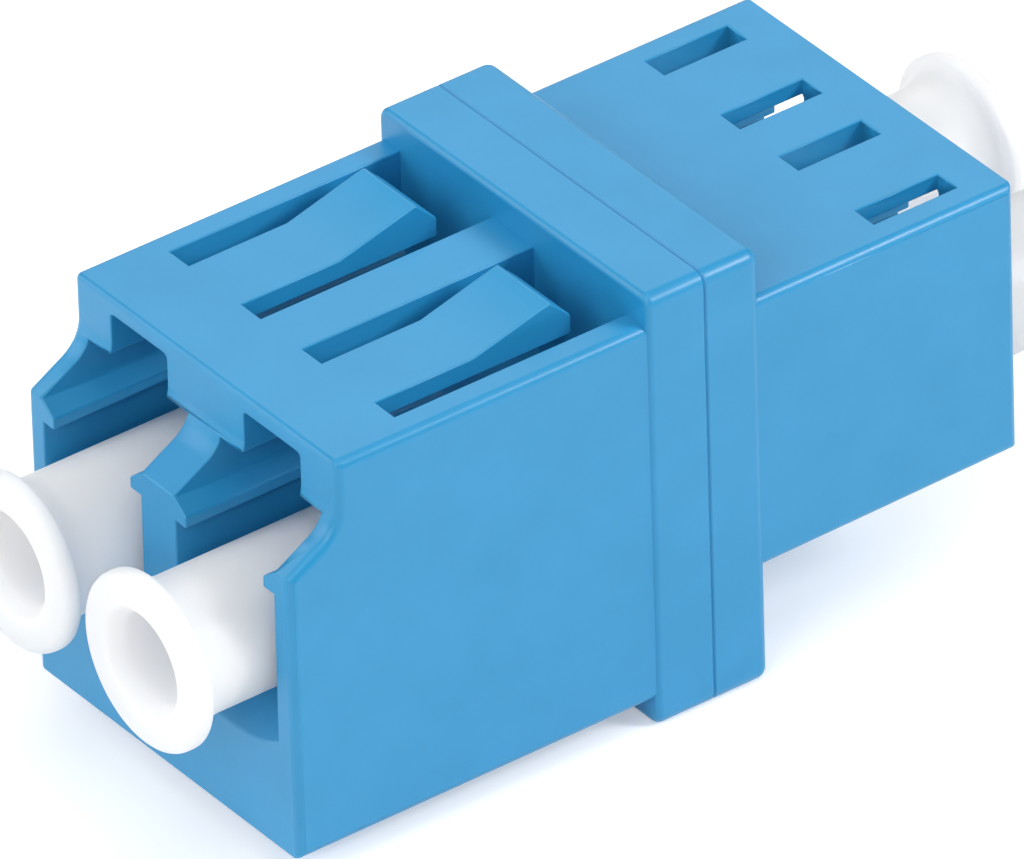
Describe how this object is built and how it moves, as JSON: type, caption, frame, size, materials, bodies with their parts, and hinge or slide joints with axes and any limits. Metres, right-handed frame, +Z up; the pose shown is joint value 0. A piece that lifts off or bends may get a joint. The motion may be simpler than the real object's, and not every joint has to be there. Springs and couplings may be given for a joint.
{
  "type": "duplex lc fibre adapter",
  "caption": "Fibre-optic coupling adapter: side-by-side latch ports through a flanged housing, sprung panel tongues, captive split sleeves and flared pull-off dust caps.",
  "frame": {"origin": "parting plane of the two half-housings, midway between the two channels, at the height of the flange's lower edge", "axes": "+Z up, on the side of the latches and panel tongues; +Y along the fibres towards the rear (shorter) half; +X across the channels"},
  "size_m": [0.0126, 0.0341, 0.0146],
  "materials": {
    "housing_plastic": "satin moulded thermoplastic, mid blue",
    "cap_plastic": "soft translucent white polyethylene",
    "sleeve_ceramic": "ground white zirconia"
  },
  "bodies": {
    "housing": {"housing_front": "housing_plastic", "housing_rear": "housing_plastic", "sleeve_left": "sleeve_ceramic", "sleeve_right": "sleeve_ceramic"},
    "cap_front_left": {"cap_front_left": "cap_plastic"},
    "cap_front_right": {"cap_front_right": "cap_plastic"},
    "cap_rear_left": {"cap_rear_left": "cap_plastic"},
    "cap_rear_right": {"cap_rear_right": "cap_plastic"}
  },
  "joints": [
    {"name": "cap_front_left_pull", "type": "slide", "parent": "housing", "child": "cap_front_left", "axis": [0, -1, 0], "range_m": [0, 0.013]},
    {"name": "cap_front_right_pull", "type": "slide", "parent": "housing", "child": "cap_front_right", "axis": [0, -1, 0], "range_m": [0, 0.013]},
    {"name": "cap_rear_left_pull", "type": "slide", "parent": "housing", "child": "cap_rear_left", "axis": [0, 1, 0], "range_m": [0, 0.0095]},
    {"name": "cap_rear_right_pull", "type": "slide", "parent": "housing", "child": "cap_rear_right", "axis": [0, 1, 0], "range_m": [0, 0.0095]}
  ]
}
